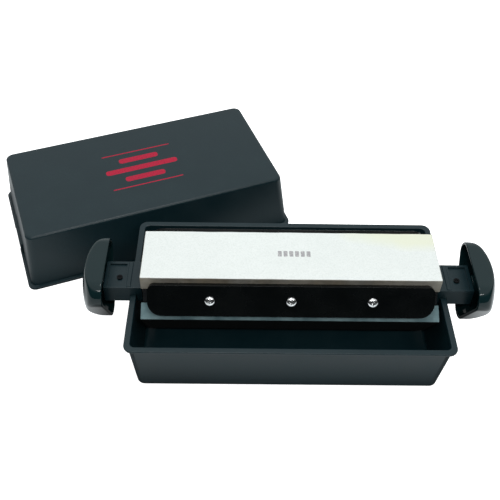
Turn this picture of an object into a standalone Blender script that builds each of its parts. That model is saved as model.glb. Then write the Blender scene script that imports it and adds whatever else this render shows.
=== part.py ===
"""Three-way bench sharpening stone: an oil tray, a triangular rotor of three stones, and a box lid.

Metres, +Z up, X along the stones.  The origin is the centre of the tray's underside.
"""
import math

import bmesh
import bpy
from mathutils import Matrix, Vector

MM = 0.001
GAP = 0.3 * MM                      # left between pieces that touch

# Driving dimensions
STONE_LENGTH = 292.1 * MM
STONE_WIDTH = 63.5 * MM
STONE_THICK = 16.6 * MM
STONE_FACE_R = 42.9 * MM            # from the rotor's axis to a stone's working face
AXIS_Z = 68.3 * MM                  # the rotor's axis above the tray's underside

TRAY_HEIGHT = 69.0 * MM
RIM_LENGTH = 321.0 * MM             # over the tray's lip, and over the lid's
RIM_WIDTH = 176.6 * MM
RIM_THICK = 3.0 * MM
RIM_CORNER = 9.0 * MM
WALL = 3.2 * MM
TRAY_TOP = (315.0 * MM, 170.6 * MM)  # outside of the walls under the lip
TRAY_BASE = (306.8 * MM, 158.0 * MM)

LID_HEIGHT = 69.0 * MM
LID_BASE = (314.6 * MM, 170.0 * MM)
LID_TOP = (300.3 * MM, 152.3 * MM)
LID_CENTRE = (-168.2 * MM, 183.0 * MM)
LID_TURN = math.radians(20.65)

FOOT_R = 7.0 * MM
FOOT_PROUD = 1.2 * MM
FOOT_POCKET = 1.0 * MM
FOOT_AT = (132.0 * MM, 60.0 * MM)

AXLE_R = 5.0 * MM
AXLE_HALF = 199.0 * MM
RUN = 0.3 * MM                      # radial clearance on the axle
BUSH_R = 6.6 * MM
BUSH_FLANGE_R = 11.0 * MM

CORE_HALF = 144.0 * MM
CORE_TRIM = 41.0 * MM               # from the axis to the core's three narrow corner faces

BAR_HALF = 139.0 * MM
BAR_HALF_WIDTH = 15.8 * MM
BAR_BACK = 46.6 * MM                # radii of the bar's plate from the axis
BAR_FACE = 53.5 * MM
BAR_TOE = 41.4 * MM                 # how far in the bar's wedge reaches
SCREW_PITCH = 78.5 * MM
SCREW_HEAD_R = 5.0 * MM
SCREW_HEAD_H = 3.0 * MM
SCREW_SHANK_R = 2.1 * MM
SCREW_TIP = 33.0 * MM

BLOCK_INNER = 147.9 * MM            # the bearing block, along |X|
BLOCK_OUTER = 186.8 * MM
BLOCK_HALF_WIDTH = 18.0 * MM
BLOCK_LOW = 59.6 * MM
BLOCK_HIGH = 80.2 * MM
SEAT_HALF_WIDTH = 15.5 * MM         # the part of the block that sits in the tray's notch

HANDLE_RIM = 183.9 * MM             # open end of the cup, along |X|
HANDLE_DEEP = 25.2 * MM
HANDLE_R = 49.5 * MM                # of the dome that closes the cup
HANDLE_FLAT = 30.8 * MM             # from the axis to each of the three flats
HANDLE_CORNER = 15.5 * MM           # radius of the corners between the flats
HANDLE_WALL = 3.0 * MM
HUB_R = 11.0 * MM
HUB_START = 187.7 * MM

ALONG_X = Matrix(((0, 0, 1, 0), (1, 0, 0, 0), (0, 1, 0, 0), (0, 0, 0, 1)))


# ---------------------------------------------------------------- scene and materials

def clear_scene():
    for thing in list(bpy.data.objects):
        bpy.data.objects.remove(thing, do_unlink=True)


def collection(name):
    made = bpy.data.collections.new(name)
    bpy.context.scene.collection.children.link(made)
    return made


def material(name, colour, roughness, metallic=0.0):
    made = bpy.data.materials.new(name)
    made.use_nodes = True
    shader = made.node_tree.nodes["Principled BSDF"]
    shader.inputs["Base Color"].default_value = (*colour, 1.0)
    shader.inputs["Roughness"].default_value = roughness
    shader.inputs["Metallic"].default_value = metallic
    return made


def empty(name, at=(0, 0, 0), turn=(0, 0, 0), parent=None):
    made = bpy.data.objects.new(name, None)
    made.location = at
    made.rotation_euler = turn
    made.parent = parent
    PARTS.objects.link(made)
    return made


def part(name, bm, finish, parent=None):
    """Link a finished mesh as a named sub-part."""
    mesh = bpy.data.meshes.new(name)
    bm.to_mesh(mesh)
    bm.free()
    mesh.materials.append(finish)
    mesh.shade_smooth()
    mesh.set_sharp_from_angle(angle=math.radians(35))
    made = bpy.data.objects.new(name, mesh)
    made.parent = parent
    PARTS.objects.link(made)
    return made


def cutter(name, bm, parent=None):
    """Link a mesh that only cuts or joins other parts."""
    mesh = bpy.data.meshes.new(name)
    bm.to_mesh(mesh)
    bm.free()
    made = bpy.data.objects.new(name, mesh)
    made.parent = parent
    made.display_type = "WIRE"
    made.hide_render = True
    CUTTERS.objects.link(made)
    return made


def boolean(target, tool, operation="DIFFERENCE"):
    made = target.modifiers.new(tool.name, "BOOLEAN")
    made.operation = operation
    made.solver = "EXACT"
    made.object = tool


# ---------------------------------------------------------------- basic shapes

def merge(*pieces):
    """Put several separate solids in one mesh, for a cutter with several bodies."""
    whole = bmesh.new()
    for piece in pieces:
        mesh = bpy.data.meshes.new("piece")
        piece.to_mesh(mesh)
        piece.free()
        whole.from_mesh(mesh)
        bpy.data.meshes.remove(mesh)
    return whole


def box(low, high, bevel=0.0, segments=1):
    bm = bmesh.new()
    low, high = Vector(low), Vector(high)
    size = high - low
    place = Matrix.Translation((low + high) / 2) @ Matrix.Diagonal((*size, 1.0))
    bmesh.ops.create_cube(bm, size=1.0, matrix=place)
    if bevel:
        bmesh.ops.bevel(bm, geom=bm.edges[:], offset=bevel, segments=segments, profile=0.5,
                        affect="EDGES")
    return bm


def tapered_box(base, top, low, high, corner, edge_z=None, edge=0.0):
    """A box with drafted walls, round upright corners and, at edge_z, a round edge."""
    bm = bmesh.new()
    bmesh.ops.create_cube(bm, size=1.0)
    for vert in bm.verts:
        length, width = top if vert.co.z > 0 else base
        height = high if vert.co.z > 0 else low
        vert.co = (vert.co.x * length, vert.co.y * width, height)
    upright = [e for e in bm.edges if abs(e.verts[0].co.z - e.verts[1].co.z) > (high - low) / 2]
    bmesh.ops.bevel(bm, geom=upright, offset=corner, segments=6, profile=0.5, affect="EDGES")
    if edge:
        ring = [e for e in bm.edges if all(abs(v.co.z - edge_z) < 1e-6 for v in e.verts)]
        bmesh.ops.bevel(bm, geom=ring, offset=edge, segments=3, profile=0.5, affect="EDGES")
    return bm


def size_at(z, base, top, height, inset):
    """Length and width of a drafted box at height z, with its walls moved in by inset."""
    part_way = z / height
    return tuple(b + (t - b) * part_way - 2 * inset for b, t in zip(base, top))


def prism(outline, low, high, place=None):
    """A solid from a flat outline in XY, raised from low to high along Z, then placed."""
    bm = bmesh.new()
    face = bm.faces.new([bm.verts.new((x, y, low)) for x, y in outline])
    raised = bmesh.ops.extrude_face_region(bm, geom=[face])["geom"]
    top = [v for v in raised if isinstance(v, bmesh.types.BMVert)]
    bmesh.ops.translate(bm, verts=top, vec=(0, 0, high - low))
    bmesh.ops.recalc_face_normals(bm, faces=bm.faces)
    if place:
        bm.transform(place)
    return bm


def rod(radius, start, end, segments=32):
    """A round rod between two points."""
    start, end = Vector(start), Vector(end)
    turn = (end - start).to_track_quat("Z", "Y").to_matrix().to_4x4()
    bm = bmesh.new()
    bmesh.ops.create_cone(bm, cap_ends=True, segments=segments, radius1=radius, radius2=radius,
                          depth=(end - start).length,
                          matrix=Matrix.Translation((start + end) / 2) @ turn)
    return bm


def turned(name, profile, steps, finish, parent=None, as_cutter=False):
    """A turned piece about its own Z: profile is (radius, height), down its outer side."""
    bm = bmesh.new()
    verts = [bm.verts.new((radius, 0, height)) for radius, height in profile]
    for first, second in zip(verts, verts[1:]):
        bm.edges.new((first, second))
    made = cutter(name, bm, parent) if as_cutter else part(name, bm, finish, parent)
    screw = made.modifiers.new("turn", "SCREW")
    screw.steps = screw.render_steps = steps
    screw.use_merge_vertices = True
    screw.merge_threshold = 0.00001
    screw.use_smooth_shade = True
    return made


def finished_mesh(thing, name):
    """The mesh of an object with its modifiers applied, ready to be shared by copies."""
    bpy.context.view_layer.update()
    shape = thing.evaluated_get(bpy.context.evaluated_depsgraph_get())
    mesh = bpy.data.meshes.new_from_object(shape)
    mesh.name = name
    return mesh


# ---------------------------------------------------------------- tray and feet

def make_tray():
    under_lip = TRAY_HEIGHT - RIM_THICK / 2
    shell = tapered_box(TRAY_BASE, size_at(under_lip, TRAY_BASE, TRAY_TOP, TRAY_HEIGHT, 0),
                        0, under_lip, 8 * MM, edge_z=0, edge=3 * MM)
    tray = part("tray", shell, BODY_PLASTIC)
    rim = tapered_box((RIM_LENGTH, RIM_WIDTH), (RIM_LENGTH, RIM_WIDTH), TRAY_HEIGHT - RIM_THICK,
                      TRAY_HEIGHT, RIM_CORNER, edge_z=TRAY_HEIGHT, edge=0.8 * MM)
    boolean(tray, cutter("tray_lip", rim), "UNION")
    above = TRAY_HEIGHT + 10 * MM
    cavity = tapered_box(size_at(WALL, TRAY_BASE, TRAY_TOP, TRAY_HEIGHT, WALL),
                         size_at(above, TRAY_BASE, TRAY_TOP, TRAY_HEIGHT, WALL),
                         WALL, above, 5 * MM, edge_z=WALL, edge=2 * MM)
    boolean(tray, cutter("tray_cavity", cavity))
    half = SEAT_HALF_WIDTH + GAP
    notches = [box((side * 158 * MM - 10 * MM, -half, BLOCK_LOW - GAP),
                   (side * 158 * MM + 10 * MM, half, above)) for side in (-1, 1)]
    boolean(tray, cutter("tray_notches", merge(*notches)))
    pockets = [rod(FOOT_R + 2 * GAP, (x, y, -5 * MM), (x, y, FOOT_POCKET), 24)
               for x, y in foot_places().values()]
    boolean(tray, cutter("tray_foot_pockets", merge(*pockets)))


def foot_places():
    x, y = FOOT_AT
    return {"foot_front_left": (-x, -y), "foot_front_right": (x, -y),
            "foot_rear_left": (-x, y), "foot_rear_right": (x, y)}


def make_feet():
    for name, (x, y) in foot_places().items():
        pad = rod(FOOT_R, (x, y, -FOOT_PROUD), (x, y, FOOT_POCKET - GAP), 24)
        part(name, pad, RUBBER)


# ---------------------------------------------------------------- lid

def make_lid():
    place = empty("lid_place", (*LID_CENTRE, -FOOT_PROUD), (0, 0, LID_TURN))
    shell = tapered_box(LID_BASE, LID_TOP, 0, LID_HEIGHT, 8 * MM, edge_z=LID_HEIGHT, edge=3 * MM)
    lid = part("lid", shell, BODY_PLASTIC, place)
    # the foot of the wall stands inside the lip, so the two never share a face
    lid.data.transform(Matrix.Translation((0, 0, 0.5 * MM)))
    lip = tapered_box((RIM_LENGTH, RIM_WIDTH), (RIM_LENGTH, RIM_WIDTH), 0, RIM_THICK,
                      RIM_CORNER, edge_z=RIM_THICK, edge=0.8 * MM)
    boolean(lid, cutter("lid_lip", lip, place), "UNION")
    hoods = [box((side * 154.6 * MM - 4.8 * MM, -27 * MM, 0.4 * MM),
                 (side * 154.6 * MM + 4.8 * MM, 27 * MM, 17 * MM), 1.5 * MM, 2) for side in (-1, 1)]
    boolean(lid, cutter("lid_hoods", merge(*hoods), place), "UNION")
    ceiling = LID_HEIGHT + 0.5 * MM - WALL
    cavity = tapered_box(size_at(-5 * MM, LID_BASE, LID_TOP, LID_HEIGHT, WALL),
                         size_at(ceiling, LID_BASE, LID_TOP, LID_HEIGHT, WALL),
                         -5 * MM, ceiling, 5 * MM, edge_z=ceiling, edge=2 * MM)
    boolean(lid, cutter("lid_cavity", cavity, place))
    half = BLOCK_HALF_WIDTH + 1.0 * MM
    high = BLOCK_HIGH - TRAY_HEIGHT + 1.3 * MM
    openings = [box((side * 155 * MM - 12 * MM, -half, -5 * MM),
                    (side * 155 * MM + 12 * MM, half, high)) for side in (-1, 1)]
    boolean(lid, cutter("lid_end_openings", merge(*openings), place))


# ---------------------------------------------------------------- bearing blocks

def span(side, near, far):
    """Low and high X of a stretch that runs from near to far on one side."""
    return tuple(sorted((side * near, side * far)))


def make_block(side, hand):
    low, high = span(side, BLOCK_INNER, BLOCK_OUTER)
    body = box((low, -BLOCK_HALF_WIDTH, BLOCK_LOW), (high, BLOCK_HALF_WIDTH, BLOCK_HIGH), 0.8 * MM, 2)
    block = part("bearing_block_" + hand, body, BODY_PLASTIC)
    low, high = span(side, 159.2 * MM, 163.6 * MM)
    rib = box((low, -16.6 * MM, BLOCK_HIGH - 1.5 * MM), (high, 16.6 * MM, BLOCK_HIGH + 0.8 * MM), 0.4 * MM)
    boolean(block, cutter("block_rib_" + hand, rib), "UNION")
    low, high = span(side, 165.4 * MM, 183.0 * MM)
    recess_floor = BLOCK_HIGH - 2.0 * MM
    recess = box((low, -15.8 * MM, recess_floor), (high, 14.6 * MM, BLOCK_HIGH + 3 * MM))
    boolean(block, cutter("block_recess_" + hand, recess))
    # the groove that straddles the tray's wall
    low, high = span(side, 153.6 * MM, RIM_LENGTH / 2 + GAP)
    floor = TRAY_HEIGHT + GAP
    groove = merge(box((low, -25 * MM, 50 * MM), (high, -SEAT_HALF_WIDTH, floor)),
                   box((low, SEAT_HALF_WIDTH, 50 * MM), (high, 25 * MM, floor)))
    boolean(block, cutter("block_groove_sides_" + hand, groove))
    bore = rod(BUSH_R + GAP, (side * 140 * MM, 0, AXIS_Z), (side * 195 * MM, 0, AXIS_Z))
    boolean(block, cutter("block_bore_" + hand, bore))
    at = (side * 171.5 * MM, -3.0 * MM)
    hole = rod(1.7 * MM, (*at, AXIS_Z + 3 * MM), (*at, BLOCK_HIGH + 3 * MM), 16)
    boolean(block, cutter("block_pin_hole_" + hand, hole))
    make_bush(side, hand)
    head = rod(3.0 * MM, (*at, recess_floor + GAP), (*at, recess_floor + 1.5 * MM), 20)
    screw = part("bush_screw_" + hand, head, CHROME)
    shank = rod(1.3 * MM, (*at, recess_floor - 1.9 * MM), (*at, recess_floor + 1.0 * MM), 12)
    boolean(screw, cutter("bush_screw_shank_" + hand, shank), "UNION")
    slots = cross((*at, recess_floor + 1.0 * MM), 3.4 * MM, 0.9 * MM, 3 * MM)
    boolean(screw, cutter("bush_screw_slots_" + hand, slots))


def make_bush(side, hand):
    """A flanged sleeve that carries the axle in its block."""
    place = empty("bush_place_" + hand, (0, 0, AXIS_Z), (0, side * math.pi / 2, 0))
    inner, sleeve_end = AXLE_R + RUN, BLOCK_OUTER - 0.6 * MM
    flange = (CORE_HALF + GAP, BLOCK_INNER - GAP)
    profile = [(inner, sleeve_end), (BUSH_R, sleeve_end), (BUSH_R, flange[1]),
               (BUSH_FLANGE_R, flange[1]), (BUSH_FLANGE_R, flange[0]), (inner, flange[0]),
               (inner, sleeve_end)]
    turned("axle_bush_" + hand, profile, 32, NYLON, place)


def cross(at, length, width, depth):
    """A cutter for a cross-head recess whose floor is at the given point."""
    x, y, z = at
    arms = [box((x - a / 2, y - b / 2, z), (x + a / 2, y + b / 2, z + depth))
            for a, b in ((length, width), (width, length))]
    first = cutter("cross_arm", arms[0])
    second = cutter("cross_other_arm", arms[1])
    boolean(first, second, "UNION")
    mesh = finished_mesh(first, "cross")
    whole = bmesh.new()
    whole.from_mesh(mesh)
    for tool in (first, second):
        bpy.data.objects.remove(tool)
    bpy.data.meshes.remove(mesh)
    return whole


# ---------------------------------------------------------------- rotor

def core_outline():
    """A triangle with its flats under the stones and its corners cut off, as (y, z)."""
    inner = STONE_FACE_R - STONE_THICK - GAP
    half = (2 * inner - CORE_TRIM) * math.tan(math.radians(30))
    points = []
    for corner in (30, 150, 270):
        along = math.radians(corner)
        for t in (-half, half):
            points.append((CORE_TRIM * math.cos(along) - t * math.sin(along),
                           CORE_TRIM * math.sin(along) + t * math.cos(along)))
    return points


def make_core(axis):
    core = part("rotor_core", prism(core_outline(), -CORE_HALF, CORE_HALF, ALONG_X), CORE_PLASTIC, axis)
    bore = rod(AXLE_R + RUN, (-CORE_HALF - 0.01, 0, 0), (CORE_HALF + 0.01, 0, 0))
    boolean(core, cutter("core_bore", bore, axis))
    holes = []
    for corner in (30, 150, 270):
        outward = Vector((0, math.cos(math.radians(corner)), math.sin(math.radians(corner))))
        for x in screw_places():
            along = Vector((x, 0, 0))
            holes.append(rod(SCREW_SHANK_R + GAP, along + outward * (SCREW_TIP - 1 * MM),
                             along + outward * 60 * MM, 16))
    boolean(core, cutter("core_screw_holes", merge(*holes), axis))


def screw_places():
    return (-SCREW_PITCH, 0.0, SCREW_PITCH)


def make_stones(axis):
    """One stone on each face of the core; the angle turns it about the axle."""
    for name, turn, finish in (("medium_stone", 0, MEDIUM), ("coarse_stone", 120, COARSE),
                               ("fine_stone", 240, FINE)):
        station = empty(name + "_station", turn=(math.radians(turn), 0, 0), parent=axis)
        slab = box((-STONE_LENGTH / 2, -STONE_WIDTH / 2, STONE_FACE_R - STONE_THICK),
                   (STONE_LENGTH / 2, STONE_WIDTH / 2, STONE_FACE_R), 0.6 * MM, 2)
        part(name, slab, finish, station)


def bar_outline():
    """The clamp bar's plate in (x, t), with round ends that are cut deeper on its lower side."""
    upper, lower = (6.5 * MM, 8.0 * MM), (13.0 * MM, 15.0 * MM)
    quarter = [math.radians(a) for a in range(0, 91, 15)]
    points = []
    for sx, sy, (cut_x, cut_y) in ((1, 1, upper), (-1, 1, upper), (-1, -1, lower), (1, -1, lower)):
        arc = [(sx * (BAR_HALF - cut_x + cut_x * math.cos(a)),
                sy * (BAR_HALF_WIDTH - cut_y + cut_y * math.sin(a))) for a in quarter]
        points += arc if sx * sy > 0 else arc[::-1]
    return points


def wedge_outline():
    """The back of the bar, which fills the V between two stones, as (t, n)."""
    inner = STONE_FACE_R - STONE_THICK
    edge_n = STONE_WIDTH / 2 * math.cos(math.radians(30)) + inner * math.sin(math.radians(30))
    edge_t = inner * math.cos(math.radians(30)) - STONE_WIDTH / 2 * math.sin(math.radians(30))

    def reach(n):
        return edge_t + (n - edge_n) * math.tan(math.radians(60)) - 0.7 * MM
    low, high = BAR_TOE, BAR_BACK
    top = BAR_BACK + 2 * MM
    widest = min(reach(high), BAR_HALF_WIDTH - 0.2 * MM)
    return [(-reach(low), low), (reach(low), low), (widest, high), (widest, top),
            (-widest, top), (-widest, high)]


def make_bars(axis, screw_mesh):
    for name, turn in (("front", 60), ("bottom", 180), ("rear", 300)):
        station = empty(name + "_bar_station", turn=(math.radians(turn), 0, 0), parent=axis)
        plate = prism(bar_outline(), BAR_BACK, BAR_FACE)
        rim = [e for e in plate.edges if all(abs(v.co.z - BAR_FACE) < 1e-6 for v in e.verts)]
        bmesh.ops.bevel(plate, geom=rim, offset=0.6 * MM, segments=2, profile=0.5, affect="EDGES")
        bar = part("clamp_bar_" + name, plate, BAR_PLASTIC, station)
        wedge = prism(wedge_outline(), -BAR_HALF + 14 * MM, BAR_HALF - 14 * MM, ALONG_X)
        boolean(bar, cutter("wedge_" + name, wedge, station), "UNION")
        holes = [rod(SCREW_SHANK_R + GAP, (x, 0, 35 * MM), (x, 0, 60 * MM), 16)
                 for x in screw_places()]
        boolean(bar, cutter("bar_holes_" + name, merge(*holes), station))
        for number, x in enumerate(screw_places(), 1):
            screw = bpy.data.objects.new("screw_" + name + "_" + str(number), screw_mesh)
            screw.parent = station
            screw.location = (x, 0, BAR_FACE + GAP)
            PARTS.objects.link(screw)


def make_screw_mesh():
    """A pan head screw with a cross recess; its head's seat is at its origin."""
    tip = SCREW_TIP - BAR_FACE
    rise = [math.radians(a) for a in (90, 65, 40, 20, 0)]
    dome = [(SCREW_HEAD_R * math.cos(a), SCREW_HEAD_H * (0.35 + 0.65 * math.sin(a))) for a in rise]
    dome[0] = (0.0, SCREW_HEAD_H)
    profile = dome + [(SCREW_HEAD_R, 0), (SCREW_SHANK_R, 0), (SCREW_SHANK_R, tip + 1.5 * MM),
                      (0.4 * MM, tip), (0, tip)]
    blank = turned("screw_blank", profile, 16, CHROME, as_cutter=True)
    recess = cutter("screw_recess", cross((0, 0, SCREW_HEAD_H - 1.7 * MM), 5.6 * MM, 1.2 * MM, 5 * MM))
    boolean(blank, recess)
    mesh = finished_mesh(blank, "cross_head_screw")
    mesh.materials.clear()
    mesh.materials.append(CHROME)
    for thing in (blank, recess):
        bpy.data.objects.remove(thing)
    return mesh


# ---------------------------------------------------------------- axle and handles

def dome_profile(inset):
    """The cup as a quarter ellipse from its crown down to its open rim, as (radius, height)."""
    deep, radius = HANDLE_DEEP - inset, HANDLE_R - inset
    angles = [math.radians(a) for a in (90, 78, 66, 55, 45, 36, 28, 20, 13, 6, 0)]
    curve = [(radius * math.cos(a), HANDLE_RIM + deep * math.sin(a)) for a in angles]
    curve[0] = (0.0, HANDLE_RIM + deep)
    return curve


def flats(inset):
    """The cup's outline: a triangle of three flats, one of them facing up, with round corners."""
    middle, radius = 2 * (HANDLE_FLAT - HANDLE_CORNER), HANDLE_CORNER - inset
    points = []
    for corner in (60, 180, 300):
        for step in range(-60, 61, 10):
            at, around = math.radians(corner), math.radians(corner + step)
            points.append((middle * math.cos(at) + radius * math.cos(around),
                           middle * math.sin(at) + radius * math.sin(around)))
    return points


def make_handle(side, hand, axis):
    """A hollow cup with three flats, on a hub that holds the end of the axle."""
    place = empty("handle_place_" + hand, turn=(0, side * math.pi / 2, 0), parent=axis)
    # local Z runs outwards, and local X is down on the right hand and up on the left
    up = Matrix.Rotation(math.pi if side > 0 else 0.0, 4, "Z")
    handle = turned("handle_" + hand, dome_profile(0) + [(0, HANDLE_RIM)], 36, HANDLE_PLASTIC, place)
    outer = prism(flats(0), HANDLE_RIM - 20 * MM, HANDLE_RIM + 60 * MM, up)
    boolean(handle, cutter("handle_flats_" + hand, outer, place), "INTERSECT")
    below = HANDLE_RIM - 5 * MM
    hollow_profile = dome_profile(HANDLE_WALL) + [(HANDLE_R - HANDLE_WALL, below), (0, below)]
    hollow = turned("handle_hollow_" + hand, hollow_profile, 36, None, place, as_cutter=True)
    inner = prism(flats(HANDLE_WALL), HANDLE_RIM - 20 * MM, HANDLE_RIM + 60 * MM, up)
    boolean(hollow, cutter("handle_hollow_flats_" + hand, inner, place), "INTERSECT")
    boolean(handle, hollow)
    hub = rod(HUB_R, (0, 0, HUB_START), (0, 0, HANDLE_RIM + HANDLE_DEEP - 1.5 * MM))
    boolean(handle, cutter("handle_hub_" + hand, hub, place), "UNION")
    socket = rod(AXLE_R + GAP, (0, 0, HUB_START - 5 * MM), (0, 0, AXLE_HALF + GAP))
    boolean(handle, cutter("handle_socket_" + hand, socket, place))
    # the grub screw stands in the hub, square to the axle, under the flat that faces up
    at = HUB_START + 5 * MM
    hole = rod(2.3 * MM, (side * at, 0, AXLE_R), (side * at, 0, HUB_R + 5 * MM), 16)
    boolean(handle, cutter("handle_grub_hole_" + hand, hole, axis))
    grub = rod(2.0 * MM, (side * at, 0, AXLE_R + GAP), (side * at, 0, HUB_R), 16)
    part("handle_grub_screw_" + hand, grub, STEEL, axis)


def make_rotor():
    axis = empty("rotor_axis", (0, 0, AXIS_Z))
    make_core(axis)
    make_stones(axis)
    make_bars(axis, make_screw_mesh())
    part("axle", rod(AXLE_R, (-AXLE_HALF, 0, 0), (AXLE_HALF, 0, 0), 32), STEEL, axis)
    for side, hand in ((-1, "left"), (1, "right")):
        make_handle(side, hand, axis)


# ---------------------------------------------------------------- build

clear_scene()
PARTS = collection("three_way_oilstone")
CUTTERS = collection("cutters")
BODY_PLASTIC = material("black_moulding", (0.028, 0.036, 0.042), 0.42)
HANDLE_PLASTIC = material("gloss_moulding", (0.02, 0.025, 0.028), 0.2)
CORE_PLASTIC = material("core_moulding", (0.012, 0.012, 0.014), 0.55)
BAR_PLASTIC = material("bar_moulding", (0.008, 0.009, 0.011), 0.5)
RUBBER = material("foot_rubber", (0.02, 0.02, 0.02), 0.85)
NYLON = material("bush_nylon", (0.7, 0.68, 0.6), 0.45)
CHROME = material("screw_chrome", (0.85, 0.86, 0.88), 0.12, 1.0)
STEEL = material("axle_steel", (0.6, 0.6, 0.62), 0.3, 1.0)
MEDIUM = material("medium_grit", (0.88, 0.9, 0.86), 0.75)
COARSE = material("coarse_grit", (0.2, 0.23, 0.22), 0.85)
FINE = material("fine_grit", (0.45, 0.24, 0.13), 0.7)

make_tray()
make_feet()
make_lid()
for block_side, block_hand in ((-1, "left"), (1, "right")):
    make_block(block_side, block_hand)
make_rotor()
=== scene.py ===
"""Three-way bench oilstone: the finished look of the tray, the rotor with its stones, and the lid.

Metres, +Z up, X along the stones.  The loaded frame fixes every place and size.
"""
import math

import bmesh
import bpy
from mathutils import Matrix, Vector


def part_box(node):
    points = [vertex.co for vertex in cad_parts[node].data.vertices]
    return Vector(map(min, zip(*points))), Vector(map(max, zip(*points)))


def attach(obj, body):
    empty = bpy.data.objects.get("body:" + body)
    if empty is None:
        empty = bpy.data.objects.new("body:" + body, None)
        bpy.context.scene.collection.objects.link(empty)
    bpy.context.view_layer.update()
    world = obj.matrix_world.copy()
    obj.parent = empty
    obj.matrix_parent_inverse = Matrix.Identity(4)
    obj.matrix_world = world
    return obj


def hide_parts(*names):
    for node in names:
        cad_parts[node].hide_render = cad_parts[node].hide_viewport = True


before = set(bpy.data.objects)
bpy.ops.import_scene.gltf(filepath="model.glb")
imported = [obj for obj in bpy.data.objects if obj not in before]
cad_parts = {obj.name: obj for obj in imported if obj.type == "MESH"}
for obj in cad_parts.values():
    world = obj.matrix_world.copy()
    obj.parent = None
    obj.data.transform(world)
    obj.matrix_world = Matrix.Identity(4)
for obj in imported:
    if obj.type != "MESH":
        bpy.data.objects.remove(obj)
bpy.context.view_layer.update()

MM = 0.001
FLOOR_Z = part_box("foot_front_left")[0][2]
AXIS_Z = (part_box("axle")[0][2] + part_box("axle")[1][2]) / 2
STATIONS = (0.0, 120.0, 240.0)          # how far each face of the rotor is turned from the top one
BARS = ("front", "bottom", "rear")      # the clamp bars between the faces

CORNER_STEPS = 10                       # facets in a quarter circle of a moulded corner
FILLET_STEPS = 5                        # and of a moulded edge
SMOOTH_TO = 50                          # stones and handles are smooth at edges of up to this angle
FLAT_WEIGHT = 80                        # how firmly the flat faces hold the shading of their edges


# ---------------------------------------------------------------- mesh helpers

def quarter(steps):
    """Angles from 0 to 90 degrees, in radians."""
    return [math.pi / 2 * i / steps for i in range(steps + 1)]


def rounded_rectangle(half_x, half_y, radius):
    """A rounded rectangle's points, anticlockwise."""
    points = []
    for turn, (sx, sy) in enumerate(((1, 1), (-1, 1), (-1, -1), (1, -1))):
        for a in quarter(CORNER_STEPS):
            angle = a + turn * math.pi / 2
            points.append((sx * (half_x - radius) + radius * math.cos(angle),
                           sy * (half_y - radius) + radius * math.sin(angle)))
    return points


def lofted(rings, capped=True):
    """A solid through rings of equal length; rings that shrink to a point need no cap."""
    bm = bmesh.new()
    rows = [[bm.verts.new(point) for point in ring] for ring in rings]
    count = len(rows[0])
    for low, high in zip(rows, rows[1:]):
        for i in range(count):
            j = (i + 1) % count
            bm.faces.new((low[i], low[j], high[j], high[i]))
    if capped:
        bm.faces.new(rows[0][::-1])
        bm.faces.new(rows[-1])
    bmesh.ops.remove_doubles(bm, verts=bm.verts, dist=1e-6)
    bmesh.ops.recalc_face_normals(bm, faces=bm.faces)
    return bm


def block_mesh(low, high):
    """A plain box, for cutting."""
    bm = bmesh.new()
    low, high = Vector(low), Vector(high)
    place = Matrix.Translation((low + high) / 2) @ Matrix.Diagonal((*(high - low), 1.0))
    bmesh.ops.create_cube(bm, size=1.0, matrix=place)
    return bm


def linked(name, bm):
    """An object in the scene with this mesh, which is used up."""
    mesh = bpy.data.meshes.new(name)
    bm.to_mesh(mesh)
    bm.free()
    thing = bpy.data.objects.new(name, mesh)
    bpy.context.scene.collection.objects.link(thing)
    return thing


def applied(thing, angle=40):
    """Turn the object's modifiers into plain mesh, smooth except at edges sharper than angle."""
    bpy.context.view_layer.update()
    now = thing.evaluated_get(bpy.context.evaluated_depsgraph_get())
    mesh = bpy.data.meshes.new_from_object(now)
    mesh.name = thing.name
    thing.modifiers.clear()
    thing.data = mesh
    mesh.shade_smooth()
    mesh.set_sharp_from_angle(angle=math.radians(angle))
    return thing


def shaped(thing, tool, operation="DIFFERENCE"):
    """Cut or join one object with another, which is used up."""
    cut = thing.modifiers.new("shape", "BOOLEAN")
    cut.operation = operation
    cut.object = tool
    applied(thing)
    bpy.data.objects.remove(tool)
    return thing


def rod_mesh(radius, length, middle, around):
    """A plain upright rod, for cutting."""
    bm = bmesh.new()
    bmesh.ops.create_cone(bm, cap_ends=True, segments=around, radius1=radius, radius2=radius,
                          depth=length, matrix=Matrix.Translation(middle))
    return bm


def evened(thing, angle=40, keep_sharp=False):
    """Keep the flat faces flat to the light."""
    even = thing.modifiers.new("even", "WEIGHTED_NORMAL")
    even.keep_sharp = keep_sharp
    even.weight = FLAT_WEIGHT
    return applied(thing, angle)


def softened(thing, width, segments=2, angle=35):
    """Round every edge sharper than angle, and keep the flat faces flat to the light."""
    bevel = thing.modifiers.new("edges", "BEVEL")
    bevel.width = width
    bevel.segments = segments
    bevel.limit_method = "ANGLE"
    bevel.angle_limit = math.radians(angle)
    applied(thing)
    return evened(thing, keep_sharp=True)


def copy_of(node):
    """A welded copy of a frame node, with its loose triangles joined into flat faces."""
    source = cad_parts[node]
    bm = bmesh.new()
    bm.from_mesh(source.data)
    bm.transform(source.matrix_world)
    bmesh.ops.remove_doubles(bm, verts=bm.verts, dist=2e-6)
    bmesh.ops.dissolve_limit(bm, angle_limit=math.radians(1), verts=bm.verts, edges=bm.edges)
    return linked(node + "_finish", bm)


def finished(thing, finish, body, slot, *nodes):
    """Give a piece its material, its body, and the frame nodes that it stands for; slot is not used."""
    thing.data.materials.clear()
    thing.data.materials.append(finish)
    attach(thing, body)
    if nodes:
        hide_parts(*nodes)
    return thing


# ---------------------------------------------------------------- material helpers

def add(tree, kind, inputs=None, **settings):
    """Add a shader or geometry node; an input is given a value or another node's socket."""
    made = tree.nodes.new(kind)
    for key, value in settings.items():
        setattr(made, key, value)
    for key, value in (inputs or {}).items():
        if isinstance(value, bpy.types.NodeSocket):
            tree.links.new(value, made.inputs[key])
        else:
            made.inputs[key].default_value = value
    return made


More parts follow.
